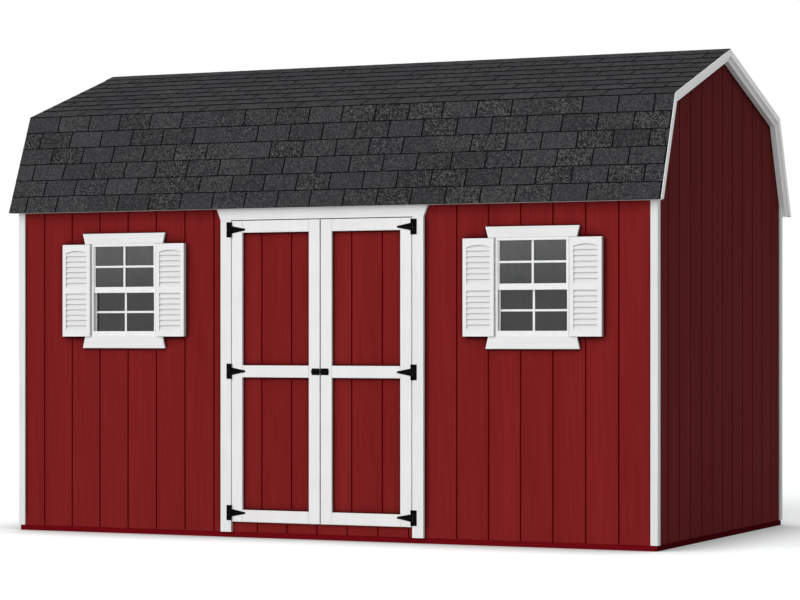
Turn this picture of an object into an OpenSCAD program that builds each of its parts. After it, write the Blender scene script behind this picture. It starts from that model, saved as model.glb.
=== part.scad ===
// Red barn-style garden building with a gambrel roof, double door and two shuttered windows.
// Millimetres. Origin at ground level in the middle of the footprint, +X along the front,
// +Y towards the back and +Z up. The doors are in the front wall, which faces -Y.

/* [Building] */
// Length of the front wall, siding face to siding face
wall_length = 4267.2; // [4000:10:5000]
// Depth of the building, siding face to siding face
wall_depth = 2438.4; // [2200:10:2900]
// Height of the wall plates and eaves above the door leaves
eave_height = 81; // [76:1:300]

/* [Floor] */
// Thickness of the floor sheet
floor_sheet_t = 16; // [12:1:22]
// Distance between floor joists, centre to centre
joist_spacing = 406.4; // [300:5:620]
// Height of the painted skirt strip at ground level
skirt_height = 32; // [25:1:45]
// How far the skirt stands out from the siding
skirt_proud = 3; // [0.5:0.5:8]

/* [Framing] */
// Thickness of the framing lumber
lumber_t = 38; // [32:1:45]
// Width of the framing lumber
lumber_w = 89; // [75:1:100]
// Distance between studs and between roof frames, centre to centre
frame_spacing = 609.6; // [400:5:640]
// Thickness of the plywood gussets that tie the rafters
gusset_t = 10; // [6:1:19]
// Length of a gusset along each rafter
gusset_reach = 220; // [150:5:300]
// Hairline joint left between boards that butt together
board_joint = 1; // [0.5:0.5:2]
// Hairline between pieces that lie against a roof slope
slope_fit = 0.3; // [0.2:0.1:0.8]

/* [Siding] */
// Thickness of the grooved siding sheets
siding_t = 11; // [9:0.5:16]
// Distance between siding grooves
groove_pitch = 203.2; // [100:1:310]
// Width of a siding groove
groove_w = 9.5; // [6:0.5:14]
// Depth of a siding groove
groove_d = 3; // [1.5:0.5:5]
// First groove of the front wall left of the door, from the left corner
left_first_groove = 173; // [60:1:200]
// First groove of the front wall right of the door, from the right corner
right_first_groove = 229; // [60:1:260]

/* [Roof] */
// Overhang of the roof edge in front of the siding
eave_overhang = 70; // [60:1:110]
// Distance of the knee behind the siding face
knee_inset = 182; // [120:5:300]
// Height of the knee above the eave
knee_rise = 621; // [500:5:750]
// Height of the ridge above the knee
ridge_rise = 349; // [250:5:500]
// Thickness of a shingle layer at the lower edge of a course
shingle_t = 6; // [4:0.5:9]
// Thickness of a course where the next one covers it
shingle_thin = 2.5; // [1.5:0.5:3.5]
// Shingle courses on each lower slope
lower_courses = 6; // [4:1:9]
// Shingle courses on each upper slope
upper_courses = 10; // [6:1:14]
// Thickness of the roof sheets
roof_sheet_t = 11; // [9:1:18]
// Thickness of the ridge shingles
cap_t = 4; // [2:0.5:6]
// Width of the ridge shingles on each slope
cap_reach = 150; // [100:5:200]
// Thickness of the soffit boards
soffit_t = 8; // [6:1:16]
// How far the shingles hang below the eave, in front of the soffit
shingle_drip = 4; // [1:0.5:6]

/* [Gable trim] */
// Thickness of the rake board on the gable
rake_board_t = 35; // [19:1:45]
// Width of the rake board, square to the slope
rake_board_w = 52; // [45:1:90]
// Thickness of the strip on the rake board
rake_strip_t = 18; // [10:1:24]
// Width of the strip, square to the slope
rake_strip_w = 42; // [30:1:60]
// Thickness of the strip's lip that covers the shingle ends
rake_lip_t = 3; // [2:0.5:6]

/* [Corner boards] */
// Width of a corner board
corner_w = 45; // [38:1:90]
// Thickness of a corner board
corner_t = 12; // [8:1:20]

/* [Door] */
// Width of the door opening between the casings
door_width = 1219.2; // [1000:5:1400]
// Height of the lower edge of the leaves above the ground
leaf_bottom = 97; // [96:1:100]
// Height of a door leaf
leaf_height = 1842; // [1700:1:1844]
// Running gap round the leaves
leaf_gap = 5; // [5:0.5:8]
// Gap between the two leaves
meeting_gap = 7.5; // [7:0.5:12]
// Width of the boards on the face of a leaf
leaf_board_w = 73; // [60:1:90]
// Thickness of the boards on the face of a leaf
leaf_board_t = 19; // [15:1:25]
// Height of the middle rail above the ground
mid_rail_z = 1018; // [900:5:1100]
// Thickness of the ledges on the back of a leaf
ledge_t = 19; // [15:1:30]
// Width of the ledges on the back of a leaf
ledge_w = 89; // [60:1:100]
// Width of the door casing boards
casing_w = 73; // [60:1:100]
// Thickness of the door casing and head boards
casing_t = 25; // [22:1:32]
// How far each end of the head board flares out
head_flare = 26; // [0:1:40]

/* [Hardware] */
// Width of the hinge plate on the casing
hinge_plate_w = 27; // [25:1:40]
// Height of the hinge plate on the casing
hinge_plate_h = 93; // [80:1:110]
// Length of the hinge strap on the leaf
strap_length = 96; // [80:1:140]
// Width of the hinge strap at the pin
strap_root = 46; // [36:1:54]
// Width of the hinge strap at its round tip
strap_tip = 15; // [10:1:24]
// Thickness of the hinge metal
hinge_metal_t = 2.5; // [2:0.5:3]
// Outer radius of a hinge knuckle
knuckle_r = 5.5; // [5:0.1:5.8]
// Radius of a hinge pin
pin_r = 3; // [2:0.1:3.5]
// Running clearance round a hinge pin
pin_clearance = 0.08; // [0.04:0.01:0.1]
// Clearance beside and behind a hinge knuckle
knuckle_gap = 0.5; // [0.3:0.1:0.8]
// Distance of the outer hinges from the ends of a leaf
hinge_inset = 54; // [50:1:120]
// Width of the latch over both leaves
latch_w = 113; // [80:1:130]
// Height of the latch
latch_h = 40; // [30:1:60]
// Thickness of the latch
latch_t = 12; // [8:1:16]

/* [Windows] */
// Distance of each window from the middle of its wall panel, towards the corner
window_x = -34.1; // [-40:0.1:20]
// Distance of the window opening's lower edge below the eaves
window_bottom = 789; // [780:1:900]
// Width of the window unit
window_w = 457; // [400:1:480]
// Height of the window unit
window_h = 579; // [500:1:590]
// How far the window frame stands out from the siding
frame_proud = 16; // [12:1:20]
// Depth of the window frame from front to back
frame_depth = 64; // [56:1:90]
// Visible width of the frame at the sides
lip_side = 11; // [9:1:16]
// Visible height of the frame at the top
lip_top = 16; // [12:1:26]
// Visible height of the frame at the bottom
lip_bottom = 33; // [20:1:40]
// Thickness of the lip in front of the sashes
lip_t = 8; // [5:1:10]
// Thickness of the frame round the sashes
jamb_t = 6; // [4:0.5:8]
// Thickness of the flanges that fill the gaps beside the shutters
flange_t = 10; // [4:1:12]
// Thickness of a sash
sash_t = 17; // [12:1:18]
// Visible width of the sash stiles beside the frame
sash_stile = 8; // [5:1:12]
// Height of the meeting rail above the window's lower edge
meeting_rail_z = 273; // [200:1:320]
// Height of the meeting rail
meeting_rail_h = 37; // [25:1:50]
// Thickness of the window panes
pane_t = 4; // [3:0.5:6]
// Height of the board over a window
window_head_h = 66; // [50:1:90]
// Height of the board under a window
window_sill_h = 73; // [50:1:90]
// How far the window boards reach past the unit
window_board_reach = 50; // [30:1:60]
// How far each end of the window boards flares out
window_board_flare = 17; // [0:1:30]
// Thickness of the window boards
window_board_t = 18; // [15:1:28]

/* [Shutters] */
// Width of a shutter
shutter_w = 198; // [160:1:205]
// Height of a shutter
shutter_h = 577; // [500:1:590]
// Thickness of a shutter
shutter_t = 30; // [24:1:34]
// Gap between a shutter and the window unit
shutter_gap = 9.5; // [2:0.5:20]
// Width of the shutter stiles
shutter_stile = 24; // [18:1:36]
// Height of the shutter's bottom rail
shutter_bottom_rail = 36; // [25:1:50]
// Height of the shutter's middle rail
shutter_mid_rail = 34; // [25:1:50]
// Height of the shutter's top rail over the arch
shutter_top_rail = 39; // [25:1:60]
// Rise of the arch over the upper louvres
arch_rise = 14; // [12:1:40]
// Louvres in each half of a shutter
louvres = 7; // [5:1:10]
// Depth of the louvre field behind the shutter face
louvre_depth = 14; // [8:1:18]
// Distance of the slats' front edges behind the shutter face
louvre_setback = 3; // [1:0.5:6]
// Height of a slat's front edge
louvre_edge = 6; // [3:0.5:10]

/* [Hidden] */
$fn = 48;
// Overcut that carries a cutting shape through a face
cut = 1;

// Colours of the finishes
red = [0.47, 0.11, 0.11];
white = [0.9, 0.9, 0.9];
bare_wood = [0.78, 0.62, 0.43];
sheathing = [0.72, 0.58, 0.38];
asphalt = [0.22, 0.22, 0.23];
black = [0.05, 0.05, 0.05];
glass = [0.45, 0.48, 0.5];

// Walls and floor
leaf_top = leaf_bottom + leaf_height;
eave_z = leaf_top + eave_height;
half_l = wall_length / 2;
half_d = wall_depth / 2;
frame_l = half_l - siding_t;
frame_d = half_d - siding_t;
floor_top = lumber_w + floor_sheet_t;
bottom_plate_top = floor_top + lumber_t;
top_plate_bottom = eave_z - lumber_t;
soffit_z = eave_z - soffit_t;
siding_bottom = skirt_height + board_joint;

// Roof slopes, from the eave up to the knee and from the knee up to the ridge
eave_y = half_d + eave_overhang;
knee_y = half_d - knee_inset;
knee_z = eave_z + knee_rise;
ridge_z = knee_z + ridge_rise;
lower_angle = atan2(knee_rise, eave_y - knee_y);
upper_angle = atan2(ridge_rise, knee_y);
lower_length = norm([eave_y - knee_y, knee_rise]);
upper_length = norm([knee_y, ridge_rise]);
rafter_depth = shingle_t + roof_sheet_t;
rafter_inside = rafter_depth + lumber_w;
rake_depth = rafter_depth + slope_fit;
roof_frame_bays = round((2 * frame_l - lumber_t) / frame_spacing);
roof_frame_pitch = (2 * frame_l - lumber_t) / roof_frame_bays;
sheet_end = half_l + rake_board_t;
strip_end = sheet_end + rake_strip_t;
shingle_end = strip_end - rake_lip_t;
drip_z = eave_z - shingle_drip;

// Door
door_half = door_width / 2;
leaf_outer = door_half - leaf_gap;
leaf_inner = meeting_gap / 2;
hinge_x = door_half - leaf_gap / 2;
casing_face = half_d + casing_t;
hinge_y = casing_face + knuckle_r + knuckle_gap;
leaf_panel_face = casing_face - leaf_board_t;
leaf_panel_back = leaf_panel_face - siding_t;
hinge_heights = [leaf_bottom + hinge_inset, mid_rail_z, leaf_top - hinge_inset];

pin_bore_r = pin_r + pin_clearance;
// Length of the pin inside each outer knuckle
pin_root = pin_r;
// Turn of the round hinge parts that keeps their seams off the hinge plates
seam_turn = 45;

// Windows and shutters
window_middle = (door_half + casing_w + half_l) / 2 + window_x;
window_foot = eave_z - window_bottom;
window_top = window_foot + window_h;
sash_front = half_d + frame_proud - lip_t;
upper_sash_y = [sash_front - sash_t, sash_front];
lower_sash_y = upper_sash_y - (sash_t + board_joint) * [1, 1];
meeting_bottom = window_foot + meeting_rail_z;
meeting_top = meeting_bottom + meeting_rail_h;
upper_pane_z = [meeting_top, window_top - lip_top];
lower_pane_z = [window_foot + lip_bottom, meeting_bottom];
pane_half = window_w / 2 - lip_side - sash_stile;
shutter_field_h = (shutter_h - shutter_bottom_rail - shutter_mid_rail - shutter_top_rail) / 2;
louvre_pitch = shutter_field_h / louvres;
shutter_field_w = shutter_w - 2 * shutter_stile;
shutter_middle = window_w / 2 + shutter_gap + shutter_w / 2;
arch_r = (pow(shutter_field_w / 2, 2) + pow(arch_rise, 2)) / (2 * arch_rise);
// Depth to which the slats run into the wall behind them
louvre_root = 2;

// A block between two corners given as ranges along X, Y and Z
module block(x, y, z) {
    translate([x[0], y[0], z[0]]) cube([x[1] - x[0], y[1] - y[0], z[1] - z[0]]);
}

// Extrudes a profile drawn in Y and Z along X
module run_x(x0, x1) {
    translate([x0, 0, 0]) rotate([90, 0, 90]) linear_extrude(x1 - x0) children();
}

// Extrudes a profile drawn in X and Z along Y
module run_y(y0, y1) {
    translate([0, y1, 0]) rotate([90, 0, 0]) linear_extrude(y1 - y0) children();
}

module left_and_right() {
    children();
    mirror([1, 0, 0]) children();
}

module back_and_front() {
    children();
    mirror([0, 1, 0]) children();
}

// Points of the roof outline on the back half, at a depth below the shingle surface
function eave_point(depth, z = eave_z) =
    [eave_y - depth / sin(lower_angle) - (z - eave_z) / tan(lower_angle), z];
function knee_point(depth) = let (bisector = (lower_angle + upper_angle) / 2,
    reach = depth / cos((lower_angle - upper_angle) / 2))
    [knee_y - reach * sin(bisector), knee_z - reach * cos(bisector)];
function ridge_point(depth) = [0, ridge_z - depth / cos(upper_angle)];
function ridge_cut(depth) = ridge_point(depth) + board_joint * [1, -tan(upper_angle)];
function roof_z_at_wall(depth) = eave_z
    + (eave_point(depth)[0] - half_d) * tan(lower_angle);

// A point on a slope: distance up the slope and depth below its surface
function on_lower_slope(up, depth) = [
    eave_y - up * cos(lower_angle) - depth * sin(lower_angle),
    eave_z + up * sin(lower_angle) - depth * cos(lower_angle)];
function on_upper_slope(up, depth) = [
    knee_y - up * cos(upper_angle) - depth * sin(upper_angle),
    knee_z + up * sin(upper_angle) - depth * cos(upper_angle)];

// A layer of the lower slope, cut level at the eave and mitred at the knee
module lower_layer(outer, inner, bottom = eave_z, joint = 0) {
    down = joint * [cos(lower_angle), -sin(lower_angle)];
    polygon([eave_point(outer, bottom), knee_point(outer) + down, knee_point(inner) + down,
        eave_point(inner, bottom)]);
}

// A layer of the upper slope, mitred at the knee and plumb at the ridge
module upper_layer(outer, inner) {
    polygon([knee_point(outer), ridge_cut(outer), ridge_cut(inner), knee_point(inner)]);
}

// Vertical grooves cut into the outer face of siding that runs along X
module long_wall_grooves(places) {
    for (x = places)
        translate([x - groove_w / 2, half_d - groove_d, 0])
            cube([groove_w, groove_d + cut, eave_z + cut]);
}

// Floor
module floor_rims() {
    color(bare_wood) back_and_front()
        block([-frame_l, frame_l], [frame_d - lumber_t, frame_d], [0, lumber_w]);
}

module floor_joists() {
    bays = round((2 * frame_l - lumber_t) / joist_spacing);
    pitch = (2 * frame_l - lumber_t) / bays;
    color(bare_wood) for (i = [0 : bays])
        translate([-frame_l + i * pitch, 0, 0])
            block([0, lumber_t], [-frame_d + lumber_t, frame_d - lumber_t], [0, lumber_w]);
}

module floor_sheet() {
    color(sheathing) block([-frame_l, frame_l], [-frame_d, frame_d], [lumber_w, floor_top]);
}

module base_skirt() {
    outer_l = half_l + skirt_proud;
    color(red) {
        back_and_front() block([-outer_l, outer_l], [frame_d, half_d + skirt_proud], [0, skirt_height]);
        left_and_right() block([frame_l, outer_l], [-frame_d + board_joint, frame_d - board_joint],
            [0, skirt_height]);
    }
}

// Draws on the front wall: outwards is +Y in the shape and -Y in the building
module on_front() {
    mirror([0, 1, 0]) children();
}

// Front siding beside the door, with the window cut through it
module front_siding(side, first_groove) {
    last_groove = half_l - door_half - groove_w;
    grooves = [for (x = first_groove; x < last_groove; x = x + groove_pitch) side * (half_l - x)];
    wall = side < 0 ? [-frame_l, -door_half] : [door_half, frame_l];
    window = [side * window_middle - window_w / 2, side * window_middle + window_w / 2];
    color(red) on_front() difference() {
        block(wall, [frame_d, half_d], [siding_bottom, eave_z]);
        block(window, [frame_d - cut, half_d + cut], [window_foot, window_top]);
        long_wall_grooves(grooves);
    }
}

module front_siding_left() {
    front_siding(-1, left_first_groove);
}

module front_siding_right() {
    front_siding(1, right_first_groove);
}

// Siding strips over and under the door
module door_infill_panels() {
    first = -floor(door_half / groove_pitch) * groove_pitch - groove_pitch / 6;
    grooves = [for (x = first; x < door_half - groove_w; x = x + groove_pitch)
        if (x > groove_w - door_half) x];
    color(red) on_front() difference() {
        union() {
            block([-door_half, door_half], [frame_d, half_d], [siding_bottom, leaf_bottom - leaf_gap]);
            block([-door_half, door_half], [frame_d, half_d], [leaf_top + leaf_gap, eave_z]);
        }
        long_wall_grooves(grooves);
    }
}

module back_siding() {
    grooves = [for (x = groove_pitch - half_l; x < frame_l - groove_w; x = x + groove_pitch) x];
    color(red) difference() {
        block([-frame_l, frame_l], [frame_d, half_d], [siding_bottom, eave_z]);
        long_wall_grooves(grooves);
    }
}

// Gable siding, cut to the underside of the roof sheets
module gable_siding() {
    wall_point = [half_d, roof_z_at_wall(rake_depth)];
    knee = knee_point(rake_depth);
    grooves = [for (y = groove_pitch - half_d; y < half_d - groove_w; y = y + groove_pitch) y];
    color(red) left_and_right() difference() {
        run_x(frame_l, half_l) polygon([[-half_d, siding_bottom], [half_d, siding_bottom], wall_point, knee,
            ridge_point(rake_depth), [-knee[0], knee[1]], [-wall_point[0], wall_point[1]]]);
        for (y = grooves)
            translate([half_l - groove_d, y - groove_w / 2, 0]) cube([groove_d + cut, groove_w, ridge_z]);
    }
}

// Wall framing
module long_wall_plates() {
    color(bare_wood) {
        back_and_front()
            block([-frame_l, frame_l], [frame_d - lumber_w, frame_d], [top_plate_bottom, eave_z]);
        block([-frame_l, frame_l], [frame_d - lumber_w, frame_d], [floor_top, bottom_plate_top]);
        left_and_right()
            block([door_half, frame_l], [-frame_d, lumber_w - frame_d], [floor_top, bottom_plate_top]);
    }
}

module long_wall_studs() {
    stud_z = [bottom_plate_top, top_plate_bottom];
    window_edges = [window_middle - window_w / 2 - lumber_t, window_middle + window_w / 2];
    color(bare_wood) {
        for (i = [0 : roof_frame_bays])
            translate([-frame_l + i * roof_frame_pitch, 0, 0])
                block([0, lumber_t], [frame_d - lumber_w, frame_d], stud_z);
        left_and_right() for (x = concat([door_half, frame_l - lumber_t], window_edges))
            translate([x, 0, 0]) block([0, lumber_t], [-frame_d, lumber_w - frame_d], stud_z);
    }
}

// Header over the door, and the headers and sills between the window studs
module front_wall_headers() {
    wall_y = [-frame_d, lumber_w - frame_d];
    window_gap = [window_middle - window_w / 2, window_middle + window_w / 2];
    color(bare_wood) {
        block([-door_half, door_half], wall_y, [leaf_top + 2 * leaf_gap, top_plate_bottom]);
        left_and_right() {
            block(window_gap, wall_y, [window_top, window_top + lumber_t]);
            block(window_gap, wall_y, [window_foot - lumber_t, window_foot]);
        }
    }
}

module gable_wall_plates() {
    plate_y = [lumber_w - frame_d, frame_d - lumber_w];
    color(bare_wood) left_and_right() {
        block([frame_l - lumber_w, frame_l], plate_y, [floor_top, bottom_plate_top]);
        block([frame_l - lumber_w, frame_l], plate_y, [top_plate_bottom, eave_z]);
    }
}

// Gable studs stand between the plates, and shorter ones from the top plate to the end rafters
module gable_wall_studs() {
    bays = round((wall_depth - 2 * siding_t - 2 * lumber_w) / frame_spacing);
    pitch = (wall_depth - 2 * siding_t - 2 * lumber_w - lumber_t) / bays;
    stud_x = [frame_l - lumber_w, frame_l];
    depth = rafter_inside + slope_fit;
    knee = knee_point(depth);
    color(bare_wood) left_and_right() {
        for (i = [0 : bays])
            translate([0, lumber_w - frame_d + i * pitch, 0])
                block(stud_x, [0, lumber_t], [bottom_plate_top, top_plate_bottom]);
        intersection() {
            for (i = [1 : bays - 1])
                translate([0, lumber_w - frame_d + i * pitch, 0])
                    block(stud_x, [0, lumber_t], [eave_z, ridge_z]);
            run_x(0, half_l) polygon([eave_point(depth), knee, ridge_point(depth), [-knee[0], knee[1]],
                [-eave_point(depth)[0], eave_z]]);
        }
    }
}

// Roof frames
module at_roof_frames() {
    for (i = [0 : roof_frame_bays])
        translate([-frame_l + i * roof_frame_pitch, 0, 0]) children();
}

module lower_rafters() {
    color(bare_wood) at_roof_frames() back_and_front()
        run_x(0, lumber_t) lower_layer(rafter_depth, rafter_inside, joint = slope_fit);
}

module upper_rafters() {
    color(bare_wood) at_roof_frames() back_and_front()
        run_x(0, lumber_t) upper_layer(rafter_depth, rafter_inside);
}

// Plywood plates on the face of each roof frame that looks towards the middle of the building
module rafter_gussets() {
    inset = board_joint;
    outer = rafter_depth + inset;
    inner = rafter_inside - inset;
    ridge_foot = on_upper_slope(upper_length - gusset_reach, outer);
    ridge_foot_inner = on_upper_slope(upper_length - gusset_reach, inner);
    color(sheathing) for (i = [0 : roof_frame_bays]) {
        x = -frame_l + i * roof_frame_pitch;
        face = i < roof_frame_bays / 2 ? x + lumber_t : x - gusset_t;
        translate([face, 0, 0]) {
            back_and_front() run_x(0, gusset_t) polygon([
                on_lower_slope(lower_length - gusset_reach, outer), knee_point(outer),
                on_upper_slope(gusset_reach, outer), on_upper_slope(gusset_reach, inner),
                knee_point(inner), on_lower_slope(lower_length - gusset_reach, inner)]);
            run_x(0, gusset_t) polygon([ridge_foot, ridge_point(outer), [-ridge_foot[0], ridge_foot[1]],
                [-ridge_foot_inner[0], ridge_foot_inner[1]], ridge_point(inner), ridge_foot_inner]);
        }
    }
}

// Roof covering
module lower_roof_sheets() {
    color(sheathing) back_and_front() run_x(-sheet_end, sheet_end)
        lower_layer(shingle_t, rafter_depth, joint = slope_fit);
}

module upper_roof_sheets() {
    color(sheathing) back_and_front() run_x(-sheet_end, sheet_end) upper_layer(shingle_t, rafter_depth);
}

// Each course is thick at its lower edge and thin where the next course covers it
module lower_shingles() {
    exposure = lower_length / lower_courses;
    covered = shingle_t - shingle_thin;
    down = slope_fit * [cos(lower_angle), -sin(lower_angle)];
    steps = [for (i = [1 : lower_courses - 1]) each [
        on_lower_slope(i * exposure, covered), on_lower_slope(i * exposure, 0)]];
    color(asphalt) back_and_front() run_x(-shingle_end, shingle_end)
        polygon(concat([eave_point(0, drip_z)], steps,
            [knee_point(covered) + down, knee_point(shingle_t) + down, eave_point(shingle_t, drip_z)]));
}

module upper_shingles() {
    exposure = upper_length / upper_courses;
    covered = shingle_t - shingle_thin;
    steps = [for (i = [1 : upper_courses - 1]) each [
        on_upper_slope(i * exposure, covered), on_upper_slope(i * exposure, 0)]];
    color(asphalt) back_and_front() run_x(-shingle_end, shingle_end)
        polygon(concat([knee_point(0)], steps,
            [ridge_cut(covered), ridge_cut(shingle_t), knee_point(shingle_t)]));
}

// Ridge shingles folded over the top courses
module ridge_cap() {
    foot = on_upper_slope(upper_length - cap_reach, 0);
    foot_top = on_upper_slope(upper_length - cap_reach, -cap_t);
    color(asphalt) run_x(-shingle_end, shingle_end)
        polygon([foot, foot_top, ridge_point(-cap_t), [-foot_top[0], foot_top[1]], [-foot[0], foot[1]],
            ridge_point(0)]);
}

// Soffits behind the hanging edge of the shingles
module eave_soffits() {
    color(white) back_and_front()
        block([-half_l, half_l], [half_d, eave_point(shingle_t)[0] - slope_fit], [soffit_z, eave_z]);
}

// Gable trim: a thick board under the roof sheets, and a strip on it that is rabbeted for the shingles
module rake(x, outer, width, bottom) {
    left_and_right() back_and_front() {
        run_x(x[0], x[1]) lower_layer(outer, outer + width, bottom, board_joint);
        run_x(x[0], x[1]) upper_layer(outer, outer + width);
    }
}

module rake_boards() {
    color(white) rake([half_l, sheet_end], rake_depth, rake_board_w, soffit_z);
}

module rake_strips() {
    rabbet = shingle_t + slope_fit;
    color(white) {
        rake([sheet_end, strip_end], rabbet, rake_strip_w - rabbet, drip_z);
        rake([shingle_end, strip_end], slope_fit, rake_strip_w - slope_fit, drip_z);
    }
}

// Corner boards: the front and back ones lap over the edges of those on the gables
module front_corner_boards() {
    outer = half_l + corner_t;
    color(white) left_and_right() back_and_front()
        block([outer - corner_w, outer], [half_d, half_d + corner_t], [siding_bottom, soffit_z]);
}

// Each gable corner board is cut on top to the slope of the rake board
module gable_corner_boards() {
    edge = half_d + corner_t - corner_w;
    rake_foot = eave_point(rake_depth + rake_board_w + slope_fit, soffit_z)[0];
    rake_z = soffit_z + (rake_foot - edge) * tan(lower_angle);
    color(white) left_and_right() back_and_front() run_x(half_l, half_l + corner_t)
        polygon([[edge, siding_bottom], [half_d, siding_bottom], [half_d, soffit_z],
            [min(rake_foot, half_d), soffit_z], [edge, max(rake_z, soffit_z)]]);
}

// A board on the front wall whose ends flare out towards one edge
module flared_board(bottom_half, top_half, z, thickness) {
    run_y(half_d, half_d + thickness)
        polygon([[-bottom_half, z[0]], [bottom_half, z[0]], [top_half, z[1]], [-top_half, z[1]]]);
}

// Door surround
module door_casings() {
    color(white) on_front() left_and_right()
        block([door_half, door_half + casing_w], [half_d, casing_face], [siding_bottom, leaf_top + leaf_gap]);
}

module door_head() {
    edge = door_half + casing_w;
    color(white) on_front()
        flared_board(edge, edge + head_flare, [leaf_top + leaf_gap, soffit_z], casing_t);
}

// A round hinge part standing on the pin's axis
module on_pin(radius, z0, z1) {
    translate([hinge_x, hinge_y, z0]) rotate(seam_turn) cylinder(r = radius, h = z1 - z0);
}

// Hinge plate on the casing, notched for the strap, with the two outer knuckles and the pin
module hinge_plate() {
    end = hinge_plate_h / 2;
    strap_end = strap_root / 2 + knuckle_gap;
    root_x = hinge_x + pin_bore_r;
    notch_x = hinge_x + knuckle_r + knuckle_gap;
    far_x = hinge_x + knuckle_r + hinge_plate_w;
    run_y(casing_face, casing_face + hinge_metal_t)
        polygon([[root_x, -end], [far_x, -end], [far_x, end], [root_x, end], [root_x, strap_end],
            [notch_x, strap_end], [notch_x, -strap_end], [root_x, -strap_end]]);
    on_pin(knuckle_r, -end, -strap_end);
    on_pin(knuckle_r, strap_end, end);
    on_pin(pin_r, -strap_end - pin_root, strap_end + pin_root);
}

module hinge_plates() {
    color(black) on_front() left_and_right() for (z = hinge_heights)
        translate([0, 0, z]) hinge_plate();
}

// Tapered hinge strap with a round tip, carrying the middle knuckle that is bored for the pin
module hinge_strap() {
    root = strap_root / 2;
    tip = strap_tip / 2;
    root_x = hinge_x - pin_bore_r;
    tip_x = hinge_x - strap_length + tip;
    neck = tip - hinge_metal_t / 2;
    run_y(casing_face, casing_face + hinge_metal_t) {
        polygon([[root_x, -root], [root_x, root], [tip_x, neck], [tip_x, -neck]]);
        translate([tip_x, 0]) circle(r = tip);
    }
    difference() {
        on_pin(knuckle_r, -root, root);
        on_pin(pin_bore_r, -root - cut, root + cut);
    }
}

// Draws a right-hand leaf piece on the right or mirrored on the left
module leaf_side(side) {
    on_front() {
        if (side < 0) mirror([1, 0, 0]) children();
        else children();
    }
}

// Grooved siding panel of a leaf
module leaf_panel(side) {
    middle = (leaf_inner + leaf_outer) / 2;
    color(red) leaf_side(side) difference() {
        block([leaf_inner, leaf_outer], [leaf_panel_back, leaf_panel_face], [leaf_bottom, leaf_top]);
        for (x = [middle - groove_pitch / 2, middle + groove_pitch / 2])
            translate([x - groove_w / 2, leaf_panel_face - groove_d, leaf_bottom - cut])
                cube([groove_w, groove_d + cut, leaf_height + 2 * cut]);
    }
}

// Stiles and rails nailed to the face of a leaf
module leaf_boards(side) {
    face_y = [leaf_panel_face, casing_face];
    rail_x = [leaf_inner + leaf_board_w + board_joint, leaf_outer - leaf_board_w - board_joint];
    color(white) leaf_side(side) {
        for (x = [leaf_inner, leaf_outer - leaf_board_w])
            block([x, x + leaf_board_w], face_y, [leaf_bottom, leaf_top]);
        for (z = [leaf_bottom, mid_rail_z - leaf_board_w / 2, leaf_top - leaf_board_w])
            block(rail_x, face_y, [z, z + leaf_board_w]);
    }
}

// Ledges across the back of a leaf, clear of the floor, the header and the studs
module leaf_ledges(side) {
    clear = 4 * leaf_gap;
    back_y = [leaf_panel_back - ledge_t, leaf_panel_back];
    color(bare_wood) leaf_side(side)
        for (z = [floor_top + 2 * leaf_gap, mid_rail_z - ledge_w / 2, leaf_top - leaf_gap - ledge_w])
            block([leaf_inner + clear, leaf_outer - clear], back_y, [z, z + ledge_w]);
}

module leaf_straps(side) {
    color(black) leaf_side(side) for (z = hinge_heights)
        translate([0, 0, z]) hinge_strap();
}

// Half of the latch: a plate on the leaf with a rounded bolt housing
module leaf_latch(side) {
    plate_end = leaf_inner + (latch_w - meeting_gap) / 2;
    housing_r = latch_t - hinge_metal_t;
    color(black) leaf_side(side) {
        block([leaf_inner, plate_end], [casing_face, casing_face + hinge_metal_t],
            [mid_rail_z - latch_h / 2, mid_rail_z + latch_h / 2]);
        intersection() {
            translate([leaf_inner, casing_face + hinge_metal_t, mid_rail_z]) rotate([0, 90, 0])
                cylinder(r = housing_r, h = plate_end - leaf_inner);
            block([leaf_inner, plate_end], [casing_face, casing_face + latch_t],
                [mid_rail_z - latch_h / 2, mid_rail_z + latch_h / 2]);
        }
    }
}

module left_door_panel() { leaf_panel(-1); }
module left_door_boards() { leaf_boards(-1); }
module left_door_ledges() { leaf_ledges(-1); }
module left_hinge_straps() { leaf_straps(-1); }
module left_latch() { leaf_latch(-1); }
module right_door_panel() { leaf_panel(1); }
module right_door_boards() { leaf_boards(1); }
module right_door_ledges() { leaf_ledges(1); }
module right_hinge_straps() { leaf_straps(1); }
module right_latch() { leaf_latch(1); }

// Draws once at each window, with the window's middle at X = 0
module at_windows() {
    on_front() for (x = [-window_middle, window_middle]) translate([x, 0, 0]) children();
}

// Window frame with flanges on the siding beside it and a lip in front of the sashes
module window_frames() {
    half = window_w / 2;
    flange = half + shutter_gap - board_joint;
    front = half_d + frame_proud;
    back = front - frame_depth;
    color(white) at_windows() difference() {
        union() {
            block([-half, half], [back, front], [window_foot, window_top]);
            block([-flange, flange], [half_d, half_d + flange_t], [window_foot, window_top]);
        }
        block([lip_side - half, half - lip_side], [sash_front - cut, front + cut],
            [window_foot + lip_bottom, window_top - lip_top]);
        block([jamb_t - half, half - jamb_t], [back - cut, sash_front],
            [window_foot + jamb_t, window_top - jamb_t]);
    }
}

// Upper sash behind the lip, and lower sash behind the upper one
module window_sashes() {
    outer = window_w / 2 - jamb_t;
    pane_x = [-pane_half, pane_half];
    color(white) at_windows() {
        difference() {
            block([-outer, outer], upper_sash_y, [meeting_bottom, window_top - jamb_t]);
            block(pane_x, upper_sash_y + [-cut, cut], upper_pane_z);
        }
        difference() {
            block([-outer, outer], lower_sash_y, [window_foot + jamb_t, meeting_top]);
            block(pane_x, lower_sash_y + [-cut, cut], lower_pane_z);
        }
    }
}

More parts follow.
